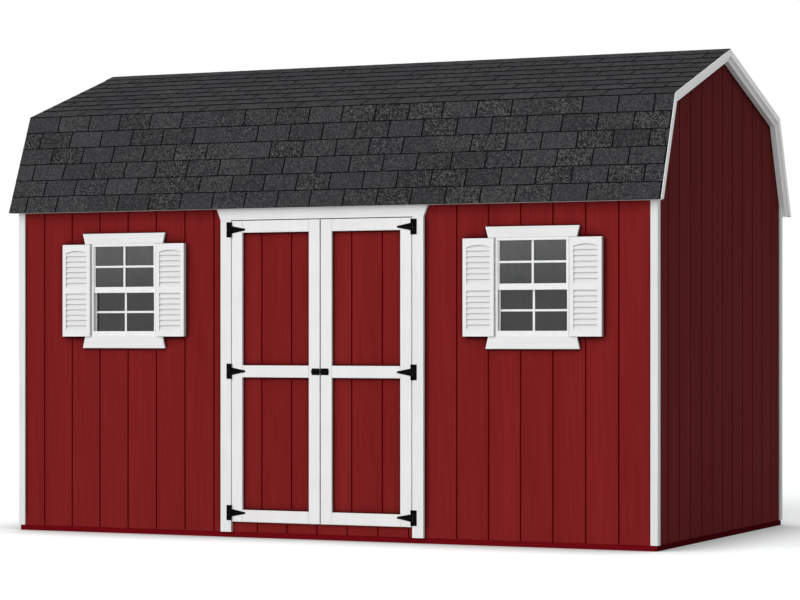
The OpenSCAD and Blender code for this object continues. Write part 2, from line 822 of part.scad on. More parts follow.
module window_panes() {
    pane_x = [-pane_half, pane_half];
    middle = (sash_t - pane_t) / 2;
    color(glass) at_windows() {
        block(pane_x, upper_sash_y + [middle, -middle], upper_pane_z);
        block(pane_x, lower_sash_y + [middle, -middle], lower_pane_z);
    }
}

// Flared boards over and under each window, the upper one clear of the shutters
module window_boards() {
    head_foot = window_foot + max(window_h, shutter_h);
    narrow = window_w / 2 + window_board_reach;
    wide = narrow + window_board_flare;
    color(white) at_windows() {
        flared_board(narrow, wide, [head_foot, head_foot + window_head_h], window_board_t);
        flared_board(wide, narrow, [window_foot - window_sill_h, window_foot], window_board_t);
    }
}

// Outline of a louvre field with its foot at Z = 0: square, or cut to an arch between two spandrels
module louvre_outline(rise) {
    half = shutter_field_w / 2;
    over = rise > 0 ? cut : 0;
    difference() {
        translate([-half, 0]) square([shutter_field_w, shutter_field_h + over]);
        if (rise > 0) difference() {
            translate([-shutter_w, shutter_field_h - 2 * rise]) square([2 * shutter_w, 3 * rise]);
            translate([0, shutter_field_h - arch_r]) circle(r = arch_r);
        }
    }
}

// Louvres as a row of slats, each leaning out towards its lower edge, let into the shutter all round
module louvre_slats() {
    pocket_y = shutter_t - louvre_depth;
    back_y = pocket_y - louvre_root;
    valley_y = pocket_y + louvre_root;
    edge_y = shutter_t - louvre_setback;
    foot = -louvre_root;
    top = shutter_field_h + louvre_root;
    slats = [for (i = [0 : louvres - 1]) each [
        [edge_y, i == 0 ? foot : i * louvre_pitch], [edge_y, i * louvre_pitch + louvre_edge],
        [valley_y, i == louvres - 1 ? top : (i + 1) * louvre_pitch]]];
    half = shutter_field_w / 2 + louvre_root;
    run_x(-half, half) polygon(concat([[back_y, top], [back_y, foot]], slats));
}

module shutter() {
    half = shutter_w / 2;
    lower_foot = shutter_bottom_rail;
    upper_foot = lower_foot + shutter_field_h + shutter_mid_rail;
    pocket_y = [shutter_t - louvre_depth, shutter_t + cut];
    difference() {
        block([-half, half], [0, shutter_t], [0, shutter_h]);
        translate([0, 0, lower_foot]) run_y(pocket_y[0], pocket_y[1]) louvre_outline(0);
        translate([0, 0, upper_foot]) run_y(pocket_y[0], pocket_y[1]) louvre_outline(arch_rise);
    }
    for (foot = [lower_foot, upper_foot]) translate([0, 0, foot]) louvre_slats();
}

module shutters() {
    color(white) at_windows() for (side = [-1, 1])
        translate([side * shutter_middle, half_d, window_foot]) shutter();
}

floor_rims();
floor_joists();
floor_sheet();
base_skirt();
front_siding_left();
front_siding_right();
door_infill_panels();
back_siding();
gable_siding();
long_wall_plates();
long_wall_studs();
front_wall_headers();
gable_wall_plates();
gable_wall_studs();
lower_rafters();
upper_rafters();
rafter_gussets();
lower_roof_sheets();
upper_roof_sheets();
lower_shingles();
upper_shingles();
ridge_cap();
eave_soffits();
rake_boards();
rake_strips();
front_corner_boards();
gable_corner_boards();
door_casings();
door_head();
hinge_plates();
window_frames();
window_sashes();
window_panes();
window_boards();
shutters();
left_door_panel();
left_door_boards();
left_door_ledges();
left_hinge_straps();
left_latch();
right_door_panel();
right_door_boards();
right_door_ledges();
right_hinge_straps();
right_latch();
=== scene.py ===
import math
import random

import bmesh
import bpy
from mathutils import Matrix, Vector


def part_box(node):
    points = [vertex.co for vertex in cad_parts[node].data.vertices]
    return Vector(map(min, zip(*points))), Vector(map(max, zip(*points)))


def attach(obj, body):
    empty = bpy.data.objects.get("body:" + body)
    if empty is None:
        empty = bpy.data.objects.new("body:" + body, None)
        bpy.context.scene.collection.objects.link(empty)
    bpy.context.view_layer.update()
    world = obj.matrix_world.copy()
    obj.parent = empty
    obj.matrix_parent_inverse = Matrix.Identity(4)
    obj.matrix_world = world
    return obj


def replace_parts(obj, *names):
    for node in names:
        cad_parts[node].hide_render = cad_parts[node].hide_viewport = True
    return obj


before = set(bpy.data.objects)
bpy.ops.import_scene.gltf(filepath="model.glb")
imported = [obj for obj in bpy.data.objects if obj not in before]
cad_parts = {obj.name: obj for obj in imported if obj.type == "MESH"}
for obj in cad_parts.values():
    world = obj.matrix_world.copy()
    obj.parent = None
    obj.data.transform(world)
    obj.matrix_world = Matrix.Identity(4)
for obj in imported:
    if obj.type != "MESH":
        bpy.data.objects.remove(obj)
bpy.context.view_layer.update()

# Floor, wall and roof frame: planed softwood lumber, cut square or to the roof slopes and nailed.
# It is left bare and shows through the open door, so growth rings run along each board and no two
# boards have the same tone.


def new_finish(name, roughness):
    """A material and its shader, with one roughness all over."""
    finish = bpy.data.materials.new(name)
    finish.use_nodes = True
    shader = finish.node_tree.nodes["Principled BSDF"]
    shader.inputs["Roughness"].default_value = roughness
    return finish, shader


def feed(socket, value):
    """Links a node's output to a socket, or sets the socket where the value is plain."""
    if isinstance(value, bpy.types.NodeSocket):
        socket.id_data.links.new(value, socket)
    else:
        socket.default_value = value


def add_node(finish, kind, inputs, **settings):
    """Adds a node to a finish, with its settings made and its inputs fed by index or name."""
    node = finish.node_tree.nodes.new("ShaderNode" + kind)
    for name, value in settings.items():
        setattr(node, name, value)
    for place, value in inputs.items():
        feed(node.inputs[place], value)
    return node


def object_place(finish):
    """The point on the piece, in metres, in the frame that the whole building shares."""
    return add_node(finish, "TexCoord", {}).outputs["Object"]


def arithmetic(finish, operation, first, second=0.0):
    return add_node(finish, "Math", {0: first, 1: second}, operation=operation).outputs[0]


def mirrored_place(finish):
    """The same point with the front half of the building folded onto the back half."""
    parts = add_node(finish, "SeparateXYZ", {0: object_place(finish)}).outputs
    depth = arithmetic(finish, "ABSOLUTE", parts["Y"])
    return add_node(finish, "CombineXYZ", {0: parts["X"], 1: depth, 2: parts["Z"]}).outputs[0]


def grain(finish, place, size, detail=3.0, distortion=0.0, turn=0.0):
    """Noise with patches of the given size along X, Y and Z, after a turn about X."""
    mapping = add_node(finish, "Mapping", {"Vector": place, "Rotation": (turn, 0, 0), "Scale": size},
                       vector_type="TEXTURE")
    noise = add_node(finish, "TexNoise", {"Vector": mapping.outputs[0], "Scale": 1.0, "Detail": detail,
                                          "Distortion": distortion})
    return noise.outputs["Fac"]


def tones(finish, factor, *stops):
    """Colours spread over a factor: each stop is a place from 0 to 1 and a linear colour."""
    ramp = add_node(finish, "ValToRGB", {"Fac": factor})
    elements = ramp.color_ramp.elements
    elements[0].position, elements[1].position = stops[0][0], stops[-1][0]
    elements[0].color, elements[1].color = (*stops[0][1], 1), (*stops[-1][1], 1)
    for place, colour in stops[1:-1]:
        elements.new(place).color = (*colour, 1)
    return ramp.outputs["Color"]


def mixed(finish, factor, first, second, kind="MIX"):
    """Two colours mixed by a factor; a plain colour is given as three linear values."""
    inputs = {0: factor, 6: first, 7: second}
    for place in (6, 7):
        if isinstance(inputs[place], tuple):
            inputs[place] = (*inputs[place], 1)
    return add_node(finish, "Mix", inputs, data_type="RGBA", blend_type=kind).outputs[2]


def relief(finish, shader, height, depth, strength):
    """Raises the surface by a height pattern of the given depth in metres."""
    bump = add_node(finish, "Bump", {"Height": height, "Distance": depth, "Strength": strength})
    feed(shader.inputs["Normal"], bump.outputs["Normal"])


def dress(finish, *nodes):
    """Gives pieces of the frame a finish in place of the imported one."""
    for node in nodes:
        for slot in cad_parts[node].material_slots:
            slot.material = finish


pine_pale, pine_ring = (0.62, 0.41, 0.21), (0.42, 0.235, 0.10)
dark_board, unshaded = (0.72, 0.70, 0.68), (1.0, 1.0, 1.0)
ring_width, ring_length = 0.016, 0.9
board_tone_size = 0.35


def lumber(name, along, mirrored=False, turn=0.0):
    """Bare softwood with its rings drawn out along one axis: 0 for X, 1 for Y or 2 for Z."""
    finish, shader = new_finish(name, roughness=0.72)
    place = mirrored_place(finish) if mirrored else object_place(finish)
    size = [ring_width] * 3
    size[along] = ring_length
    rings = grain(finish, place, size, detail=4.0, distortion=0.8, turn=turn)
    wood = tones(finish, rings, (0.3, pine_ring), (0.5, pine_pale), (0.62, pine_pale), (0.75, pine_ring))
    board = grain(finish, object_place(finish), (board_tone_size,) * 3, detail=0.0)
    shade = tones(finish, board, (0.3, dark_board), (0.7, unshaded))
    feed(shader.inputs["Base Color"], mixed(finish, 1.0, wood, shade, "MULTIPLY"))
    relief(finish, shader, rings, depth=0.0006, strength=0.4)
    return finish


def farthest(node, measure):
    """The point of a frame piece with the largest measure."""
    return max((vertex.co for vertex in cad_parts[node].data.vertices), key=measure)


eave = farthest("lower_shingles", lambda point: point.y)
knee = farthest("upper_shingles", lambda point: point.y)
cap_thickness = 0.004
cap_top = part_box("ridge_cap")[1].z
lower_angle = math.atan2(knee.z - eave.z, eave.y - knee.y)
upper_angle = math.atan2(cap_top - cap_thickness - knee.z, knee.y)

dress(lumber("lumber_along_front", along=0), "floor_rims", "long_wall_plates", "front_wall_headers")
dress(lumber("lumber_along_depth", along=1), "floor_joists", "gable_wall_plates")
dress(lumber("lumber_upright", along=2), "long_wall_studs", "gable_wall_studs")
for slope, angle in (("lower", lower_angle), ("upper", upper_angle)):
    slope_lumber = lumber("lumber_" + slope + "_slope", along=1, mirrored=True, turn=math.pi - angle)
    dress(slope_lumber, slope + "_rafters")

# Floor deck, roof deck and rafter gussets: flake board, pressed from broad wood flakes that lie in
# every direction. The sheets are nailed to the frame, bare, and the roof deck shows from below.
flake_long, flake_wide = 0.085, 0.022
flake_dark, flake_mid, flake_pale = (0.27, 0.16, 0.075), (0.47, 0.31, 0.16), (0.60, 0.43, 0.24)


def flake_layer(finish, size):
    """Flakes of one direction, each with its own grey value."""
    mapping = add_node(finish, "Mapping", {"Vector": object_place(finish), "Scale": size},
                       vector_type="TEXTURE")
    cells = add_node(finish, "TexVoronoi", {"Vector": mapping.outputs[0], "Scale": 1.0})
    return cells.outputs["Color"]


def flake_board(name):
    finish, shader = new_finish(name, roughness=0.7)
    lengthwise = flake_layer(finish, (flake_long, flake_wide, flake_wide))
    crosswise = flake_layer(finish, (flake_wide, flake_long, flake_long))
    patches = grain(finish, object_place(finish), (flake_long,) * 3, detail=1.0)
    choice = arithmetic(finish, "GREATER_THAN", patches, 0.5)
    flakes = mixed(finish, choice, lengthwise, crosswise)
    feed(shader.inputs["Base Color"],
         tones(finish, flakes, (0.2, flake_dark), (0.5, flake_mid), (0.8, flake_pale)))
    relief(finish, shader, flakes, depth=0.0008, strength=0.35)
    return finish


deck_finish = flake_board("flake_board")
dress(deck_finish, "floor_sheet", "lower_roof_sheets", "upper_roof_sheets", "rafter_gussets")

# Walls and door panels: plywood siding with upright grooves milled into rough-sawn faces. The sheets
# are nailed to the studs and painted barn red outside, with painted shade down in the grooves, and
# the face that looks into the building is bare.
red_low, red_mid, red_high = (0.173, 0.0110, 0.0116), (0.193, 0.0136, 0.0138), (0.214, 0.0173, 0.0170)
red_groove_shade = (0.078, 0.0008, 0.0016)
plank_dark, plank_pale = (0.90, 0.88, 0.88), (1.06, 1.1, 1.1)
# The gables' red is darker than the walls' as painted shade, and less so towards the foot as painted light.
gable_foot_shade, gable_peak_shade = (0.76, 1.18, 1.22), (0.57, 0.89, 0.92)
flat_paint_gloss = 0.02
saw_mark_width, saw_mark_length = 0.007, 0.45
plank_width, plank_length = 0.16, 3.0
groove_start, groove_full = 0.0006, 0.0022
corner_reach, corner_shade = 0.08, (0.07, 0.04, 0.04)
shade_free_start, shade_free_full = 0.15, 0.085
wall_low, wall_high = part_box("back_siding")
siding_thickness = wall_high.y - wall_low.y
gable_face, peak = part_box("gable_siding")[1].x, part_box("gable_siding")[1].z
above_peak = peak + shade_free_start


def rising(finish, value, start, full):
    """0 where a value is at its start and 1 where it is full, spread evenly in between."""
    return add_node(finish, "MapRange", {"Value": value, 1: start, 2: full}).outputs[0]


def behind(finish, face, place):
    """How far a place lies behind a face that stands on both sides of the building's middle."""
    return arithmetic(finish, "SUBTRACT", face, arithmetic(finish, "ABSOLUTE", place))


def painted_siding(name, front_face, foot_shade, peak_shade, top):
    """Barn red siding whose painted front stands at front_face from the building's middle. A painted shade
    multiplies its tones, from the ground up to the peak. Paint is darker in corners with the boards, as
    painted shade that is left out near the ground and the top."""
    finish, shader = new_finish(name, roughness=0.8)
    shader.inputs["Specular IOR Level"].default_value = flat_paint_gloss
    place = object_place(finish)
    marks = grain(finish, place, (saw_mark_width, saw_mark_width, saw_mark_length), detail=5.0)
    planks = grain(finish, place, (plank_width, plank_width, plank_length), detail=2.0)
    paint = tones(finish, marks, (0.28, red_low), (0.5, red_mid), (0.74, red_high))
    shade = tones(finish, planks, (0.3, plank_dark), (0.7, plank_pale))
    paint = mixed(finish, 1.0, paint, shade, "MULTIPLY")

    parts = add_node(finish, "SeparateXYZ", {0: place}).outputs
    # Painted shade: the paint darkens where boards stand close by, but not near the ground or the top.
    openness = add_node(finish, "AmbientOcclusion", {"Distance": corner_reach}, samples=8).outputs["AO"]
    for end, inward in ((0.0, 1), (top, -1)):
        near_end = rising(finish, parts["Z"], end + inward * shade_free_start, end + inward * shade_free_full)
        openness = arithmetic(finish, "MAXIMUM", openness, near_end)
    painted_corner_shade = tones(finish, openness, (0.5, corner_shade), (0.95, unshaded))
    paint = mixed(finish, 1.0, paint, painted_corner_shade, "MULTIPLY")

    below_face = arithmetic(finish, "MINIMUM", behind(finish, gable_face, parts["X"]),
                            behind(finish, front_face, parts["Y"]))
    # Painted shade: the paint turns darker red down in the grooves.
    paint = mixed(finish, rising(finish, below_face, groove_start, groove_full), paint, red_groove_shade)
    # Painted shade and light: the gables darken in red and lighten towards their foot; the walls keep their
    # tones.
    height = arithmetic(finish, "DIVIDE", parts["Z"], peak)
    side_shade = mixed(finish, height, foot_shade, peak_shade)
    paint = mixed(finish, 1.0, paint, side_shade, "MULTIPLY")
    bare = arithmetic(finish, "GREATER_THAN", below_face, siding_thickness - groove_start)
    wood = tones(finish, marks, (0.3, pine_ring), (0.7, pine_pale))
    feed(shader.inputs["Base Color"], mixed(finish, bare, paint, wood))
    relief(finish, shader, marks, depth=0.0008, strength=0.45)
    return finish


wall_finish = painted_siding("barn_red_walls", wall_high.y, unshaded, unshaded, wall_high.z)
dress(wall_finish, "front_siding_left", "front_siding_right", "door_infill_panels", "back_siding")
gable_finish = painted_siding("barn_red_gables", wall_high.y, gable_foot_shade, gable_peak_shade, above_peak)
dress(gable_finish, "gable_siding")
panel_front = -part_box("left_door_panel")[0].y
leaf_finish = painted_siding("barn_red_leaves", panel_front, unshaded, unshaded, above_peak)
dress(leaf_finish, "left_door_panel", "right_door_panel")

# Skirt: a narrow strip along the ground, nailed over the floor rims below the siding and painted in a
# deeper coat of the same red.
skirt_low, skirt_high = (0.120, 0.0027, 0.0056), (0.160, 0.0045, 0.0080)
skirt_gable_shade = (0.585, 1.0, 1.0)
brush_width, brush_length = 0.004, 0.35
skirt_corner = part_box("base_skirt")[1]

skirt_finish, skirt_shader = new_finish("barn_red_skirt", roughness=0.5)
skirt_shader.inputs["Specular IOR Level"].default_value = 0.0
skirt_place = object_place(skirt_finish)
skirt_marks = grain(skirt_finish, skirt_place, (brush_length, brush_length, brush_width))
skirt_paint = tones(skirt_finish, skirt_marks, (0.3, skirt_low), (0.7, skirt_high))
skirt_parts = add_node(skirt_finish, "SeparateXYZ", {0: skirt_place}).outputs
# Painted shade: the skirt is darker on the gables than on the walls.
behind_gable = behind(skirt_finish, skirt_corner.x, skirt_parts["X"])
behind_front = behind(skirt_finish, skirt_corner.y, skirt_parts["Y"])
on_gable = arithmetic(skirt_finish, "LESS_THAN", behind_gable, behind_front)
skirt_side_shade = mixed(skirt_finish, on_gable, unshaded, skirt_gable_shade)
feed(skirt_shader.inputs["Base Color"], mixed(skirt_finish, 1.0, skirt_paint, skirt_side_shade, "MULTIPLY"))
relief(skirt_finish, skirt_shader, skirt_marks, depth=0.0005, strength=0.3)
dress(skirt_finish, "base_skirt")

# White boards round the walls, door, windows and gables: planed softwood, nailed on and brushed with
# white paint. Their edges are eased with sandpaper, and brush marks follow each board.
white_low, white_high = (0.70, 0.705, 0.705), (0.785, 0.79, 0.79)
# The door leaves' boards take a lighter copy of the white and the corner boards a darker one, as painted
# light and painted shade.
leaf_low, leaf_high = (0.745, 0.74, 0.74), (0.80, 0.795, 0.795)
corner_low, corner_high = (0.665, 0.668, 0.668), (0.745, 0.748, 0.748)
# The rake boards take a paler white than the other boards, as painted light.
rake_lit_low, rake_lit_high = (0.87, 0.875, 0.875), (0.91, 0.915, 0.915)
thin_coat, coat_patch = (0.96, 0.96, 0.955), 0.25
board_ease = 0.0016
sharp_angle = math.radians(30)


def add_piece(name, shape, body):
    """Makes a piece from a bmesh, which is used up, and lets it move with a body of the frame."""
    mesh = bpy.data.meshes.new(name)
    shape.to_mesh(mesh)
    shape.free()
    piece = bpy.data.objects.new(name, mesh)
    bpy.context.scene.collection.objects.link(piece)
    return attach(piece, body)


def finish_piece(piece, finish):
    """Gives a piece its finish."""
    piece.data.materials.clear()
    piece.data.materials.append(finish)
    return piece


def eased_copy(node, body, ease):
    """Copies a frame piece with its sharp edges eased, and sets the copy in its place."""
    shape = bmesh.new()
    shape.from_mesh(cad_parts[node].data)
    bmesh.ops.remove_doubles(shape, verts=shape.verts, dist=1e-6)
    bmesh.ops.dissolve_limit(shape, angle_limit=math.radians(1), verts=shape.verts, edges=shape.edges)
    sharp = [edge for edge in shape.edges if edge.calc_face_angle(0.0) > sharp_angle]
    bmesh.ops.bevel(shape, geom=sharp, offset=ease, offset_type="OFFSET", affect="EDGES", segments=2,
                    profile=0.5, material=-1, clamp_overlap=True)
    piece = add_piece(node + "_eased", shape, body)
    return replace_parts(piece, node)


def white_boards(name, size, low, high, roughness=0.42):
    """White brushed paint between two tones, with marks of the given size along X, Y and Z."""
    finish, shader = new_finish(name, roughness)
    place = object_place(finish)
    marks = grain(finish, place, size, detail=4.0)
    broad = grain(finish, place, (coat_patch,) * 3, detail=1.0)
    paint = tones(finish, marks, (0.3, low), (0.6, high))
    shade = tones(finish, broad, (0.3, thin_coat), (0.7, unshaded))
    feed(shader.inputs["Base Color"], mixed(finish, 1.0, paint, shade, "MULTIPLY"))
    relief(finish, shader, marks, depth=0.0004, strength=0.25)
    return finish


upright_marks = (brush_width, brush_width, brush_length)
level_marks = (brush_length, brush_width, brush_width)
white_upright = white_boards("white_paint_upright", upright_marks, white_low, white_high)
white_level = white_boards("white_paint_level", level_marks, white_low, white_high)
white_leaf = white_boards("white_paint_leaves", upright_marks, leaf_low, leaf_high)
white_corner = white_boards("white_paint_corners", upright_marks, corner_low, corner_high)
white_rakes_lit = white_boards("white_rakes_painted_light", (2 * brush_width,) * 3, rake_lit_low, rake_lit_high, 0.3)

for node in ("front_corner_boards", "gable_corner_boards"):
    finish_piece(eased_copy(node, "building", board_ease), white_corner)
finish_piece(eased_copy("door_casings", "building", board_ease), white_upright)
for node in ("door_head", "window_boards", "eave_soffits"):
    finish_piece(eased_copy(node, "building", board_ease), white_level)
for node in ("rake_boards", "rake_strips"):
    finish_piece(eased_copy(node, "building", board_ease), white_rakes_lit)
for side in ("left", "right"):
    boards = eased_copy(side + "_door_boards", side + "_door", board_ease)
    finish_piece(boards, white_leaf)

# Roof covering: asphalt strip shingles, felt soaked in bitumen and covered with mineral granules. The
# strips are slotted into tabs, nailed in courses that break joint by half a tab, and each tab came out
# of the press with its own blend of grey, blue-grey, pale and dark granules.
lower_courses, upper_courses = 6, 8
upper_first, upper_share = 0.147, 0.1103
tab_width, tab_slot, closed_slot = 0.2232, 0.0092, 0.0006
tab_offset, eave_drip = 0.0127, 0.001
slot_draws = (tab_slot,) * 12 + (closed_slot,)
tab_lap = 0.03
sheet_depth, butt_thickness, top_thickness = 0.006, 0.0034, 0.0010
underlay_thickness = 0.0006
edge_waver = 0.0012
roof_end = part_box("lower_shingles")[1].x
lower_length = math.hypot(knee.z - eave.z, eave.y - knee.y)
ridge_height = cap_top - cap_thickness / math.cos(upper_angle)
upper_length = math.hypot(ridge_height - knee.z, knee.y)
tab_layers = ("tone", "grit", "blue", "reach")
grit_blends, blue_blends, grit_on_blue = (0.45, 0.55, 0.7, 1.0), (0, 0, 0, 0, 1), 0.8
chance = random.Random(14)


def slope_place(foot, angle, turn):
    """Places a slope whose local X runs along the eave, Y up the slope and Z out of it."""
    flat = Matrix.Translation((0, -foot.y, foot.z)) @ Matrix.Rotation(angle, 4, "X")
    return Matrix.Rotation(turn, 4, "Z") @ flat


def add_block(shape, low, high):
    """Adds a block between two corners and returns its vertices."""
    size = Vector(high) - Vector(low)
    middle = (Vector(high) + Vector(low)) / 2
    place = Matrix.Translation(middle) @ Matrix.Diagonal((*size, 1))
    return bmesh.ops.create_cube(shape, size=1.0, matrix=place)["verts"]


def add_tab(shape, place, left, right, start, end, full):
    """Adds one tab: thick at its butt and thin where the next course covers it. A tab of full length
    would reach down to the deck, and each corner of the butt wavers a little."""
    tone, grit, blue = chance.random(), chance.choice(grit_blends), chance.choice(blue_blends)
    verts = add_block(shape, (left, start, -butt_thickness), (right, end, 0))
    for face in {face for vert in verts for face in vert.link_faces}:
        face.normal_update()
        face[shape.faces.layers.float["cut"]] = abs(face.normal.z) < 0.5
    for vert in verts:
        reach = vert.co.y - start
        under = vert.co.z < -butt_thickness / 2
        fall = sheet_depth - (butt_thickness if under else top_thickness)
        vert.co.z -= fall * reach / full
        vert[shape.verts.layers.float["tone"]] = tone
        vert[shape.verts.layers.float["grit"]] = grit * grit_on_blue if blue else grit
        vert[shape.verts.layers.float["blue"]] = blue
        vert[shape.verts.layers.float["reach"]] = reach / (full - tab_lap)
    for side in (left, right):
        corner = [vert for vert in verts if vert.co.y == start and abs(vert.co.x - side) < tab_slot]
        bmesh.ops.translate(shape, verts=corner, vec=(0, chance.uniform(0, edge_waver), 0))
    bmesh.ops.transform(shape, matrix=place, verts=verts)


def lay_courses(name, node, foot, angle, starts):
    """Lays courses on the front and back slopes that share a foot and an angle. Each course has its
    start in the list, which ends with the top of the slope. No two closed slots stand side by side."""
    shape = bmesh.new()
    for layer in tab_layers:
        shape.verts.layers.float.new(layer)
    shape.faces.layers.float.new("cut")
    for turn in (0, math.pi):
        place = slope_place(foot, angle, turn)
        for course, (start, following) in enumerate(zip(starts, starts[1:])):
            full = following - start + tab_lap
            end = min(start + full, starts[-1])
            left = -roof_end
            right = tab_width * (0.5 + 0.5 * (course % 2)) + tab_offset - roof_end
            slot = tab_slot
            while left < roof_end - tab_slot:
                drawn = chance.choice(slot_draws)
                slot = tab_slot if slot == closed_slot else drawn
                add_tab(shape, place, left, min(right - slot, roof_end), start, end, full)
                left, right = right, right + tab_width
    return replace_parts(add_piece(name, shape, "building"), node)


def attribute(finish, name):
    return add_node(finish, "Attribute", {}, attribute_name=name).outputs["Fac"]


granule_size, fine_granule_size = 0.0075, 0.0038
asphalt_dark, asphalt_mid = (0.0310, 0.0311, 0.0342), (0.0396, 0.0398, 0.0434)
asphalt_pale, blue_granule = (0.0486, 0.0488, 0.0529), (0.0394, 0.0388, 0.0460)
pale_granule, dark_granule = (0.112, 0.111, 0.104), (0.0105, 0.0105, 0.0115)
bitumen_and_shadow_black = (0.004, 0.004, 0.0045)
granule_shadow, granule_glint = (0.5, 0.5, 0.5), (1.5, 1.5, 1.5)
speckle_start, pale_full, dark_full = 0.6, 0.95, 0.2
butt_shadow_start, butt_shadow_full = 0.95, 0.972
asphalt_gloss = 0.05

shingle_finish, shingle_shader = new_finish("asphalt_granules", roughness=0.9)
shingle_shader.inputs["Specular IOR Level"].default_value = asphalt_gloss
granule_place = object_place(shingle_finish)
granules = add_node(shingle_finish, "TexVoronoi", {"Vector": granule_place, "Scale": 1 / granule_size})
fine_granules = grain(shingle_finish, granule_place, (fine_granule_size,) * 3, detail=1.0)
surface = tones(shingle_finish, attribute(shingle_finish, "tone"), (0.0, asphalt_dark), (0.5, asphalt_mid),
                (1.0, asphalt_pale))
surface = mixed(shingle_finish, attribute(shingle_finish, "blue"), surface, blue_granule)
for full, granule in ((pale_full, pale_granule), (dark_full, dark_granule)):
    speckles = rising(shingle_finish, granules.outputs["Color"], speckle_start, full)
    speckles = arithmetic(shingle_finish, "MULTIPLY", speckles, attribute(shingle_finish, "grit"))
    surface = mixed(shingle_finish, speckles, surface, granule)
grit_shade = tones(shingle_finish, fine_granules, (0.3, granule_shadow), (0.7, granule_glint))
surface = mixed(shingle_finish, 1.0, surface, grit_shade, "MULTIPLY")
# Painted shadow: the top of each tab's exposure turns black, where the next course's butts overhang it.
butt_shadow = rising(shingle_finish, attribute(shingle_finish, "reach"), butt_shadow_start, butt_shadow_full)
surface = mixed(shingle_finish, butt_shadow, surface, bitumen_and_shadow_black)
surface = mixed(shingle_finish, attribute(shingle_finish, "cut"), surface, bitumen_and_shadow_black)
feed(shingle_shader.inputs["Base Color"], surface)
relief(shingle_finish, shingle_shader, fine_granules, depth=0.0012, strength=0.5)

lower_starts = [lower_length * course / lower_courses for course in range(1, lower_courses + 1)]
lower_starts = [-eave_drip, *lower_starts]
lower_tabs = lay_courses("lower_slope_tabs", "lower_shingles", eave, lower_angle, lower_starts)
finish_piece(lower_tabs, shingle_finish)
upper_starts = [upper_length * (upper_first + upper_share * course) for course in range(upper_courses - 1)]
upper_starts = [0.0, *upper_starts, upper_length]
upper_tabs = lay_courses("upper_slope_tabs", "upper_shingles", knee, upper_angle, upper_starts)
finish_piece(upper_tabs, shingle_finish)

# Underlay: a sheet of black felt on the roof deck, stapled down before the shingles. It shows only as
# a dark line in the slots between the tabs.
felt_pale = (0.008, 0.008, 0.0085)

felt = bmesh.new()
for foot, angle, start, length in ((eave, lower_angle, -eave_drip, lower_length),
                                   (knee, upper_angle, tab_slot, upper_length)):
    for turn in (0, math.pi):
        sheet = add_block(felt, (-roof_end, start, -sheet_depth),
                          (roof_end, length, underlay_thickness - sheet_depth))
        bmesh.ops.transform(felt, matrix=slope_place(foot, angle, turn), verts=sheet)
felt_finish, felt_shader = new_finish("bitumen_felt", roughness=0.85)
felt_shader.inputs["Specular IOR Level"].default_value = asphalt_gloss
felt_grain = grain(felt_finish, object_place(felt_finish), (fine_granule_size,) * 3)
feed(felt_shader.inputs["Base Color"], tones(felt_finish, felt_grain, (0.3, bitumen_and_shadow_black), (0.7, felt_pale)))
finish_piece(add_piece("roof_underlay", felt, "building"), felt_finish)

# Ridge: single shingles of the same felt and granules, folded over the peak one after another. Each laps
# the one before it and covers the nails that hold it.
cap_reach, cap_length, cap_exposure = 0.0985, 0.30, 0.142
cap_body, cap_lift = 0.0022, 0.0012

ridge = bmesh.new()
for layer in tab_layers:
    ridge.verts.layers.float.new(layer)
foot_y = cap_reach * math.cos(upper_angle)
foot_drop = cap_reach * math.sin(upper_angle)
caps = math.ceil(2 * roof_end / cap_exposure)
for cap in range(caps):
    start = -roof_end + cap * cap_exposure
    end = min(start + cap_length, roof_end)
    fold = [ridge.verts.new((start, y, z)) for y, z in
            ((-foot_y, ridge_height - foot_drop), (0, ridge_height), (foot_y, ridge_height - foot_drop))]
    legs = [ridge.edges.new(pair) for pair in zip(fold, fold[1:])]
    swept = bmesh.ops.extrude_edge_only(ridge, edges=legs)["geom"]
    far = [item for item in swept if isinstance(item, bmesh.types.BMVert)]
    bmesh.ops.translate(ridge, verts=far, vec=(end - start, 0, cap_lift))
    faces = [item for item in swept if isinstance(item, bmesh.types.BMFace)]
    bmesh.ops.recalc_face_normals(ridge, faces=faces)
    if faces[0].normal.z < 0:
        bmesh.ops.reverse_faces(ridge, faces=faces)
    solid = bmesh.ops.solidify(ridge, geom=faces, thickness=-cap_body)["geom"]
    tone, grit, blue = chance.random(), chance.choice(grit_blends), chance.choice(blue_blends)
    for vert in {*fold, *far, *(item for item in solid if isinstance(item, bmesh.types.BMVert))}:
        vert[ridge.verts.layers.float["tone"]] = tone
        vert[ridge.verts.layers.float["grit"]] = grit
        vert[ridge.verts.layers.float["blue"]] = blue
ridge_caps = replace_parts(add_piece("ridge_shingles", ridge, "building"), "ridge_cap")
finish_piece(ridge_caps, shingle_finish)

# Windows: single-hung units of white extruded vinyl, screwed into the siding through their frames. The
# frame holds two sashes, and flat bars on the glass divide each pane in four.
vinyl_low, vinyl_high = (0.76, 0.765, 0.765), (0.83, 0.835, 0.835)
vinyl_ease, mottle_size = 0.0012, 0.03
bar_upright, bar_level, bar_depth = 0.014, 0.013, 0.006

vinyl_finish, vinyl_shader = new_finish("white_vinyl", roughness=0.32)
vinyl_mottle = grain(vinyl_finish, object_place(vinyl_finish), (mottle_size,) * 3, detail=2.0)
feed(vinyl_shader.inputs["Base Color"],
     tones(vinyl_finish, vinyl_mottle, (0.3, vinyl_low), (0.7, vinyl_high)))
relief(vinyl_finish, vinyl_shader, vinyl_mottle, depth=0.0002, strength=0.1)
for node in ("window_frames", "window_sashes"):
    finish_piece(eased_copy(node, "building", vinyl_ease), vinyl_finish)


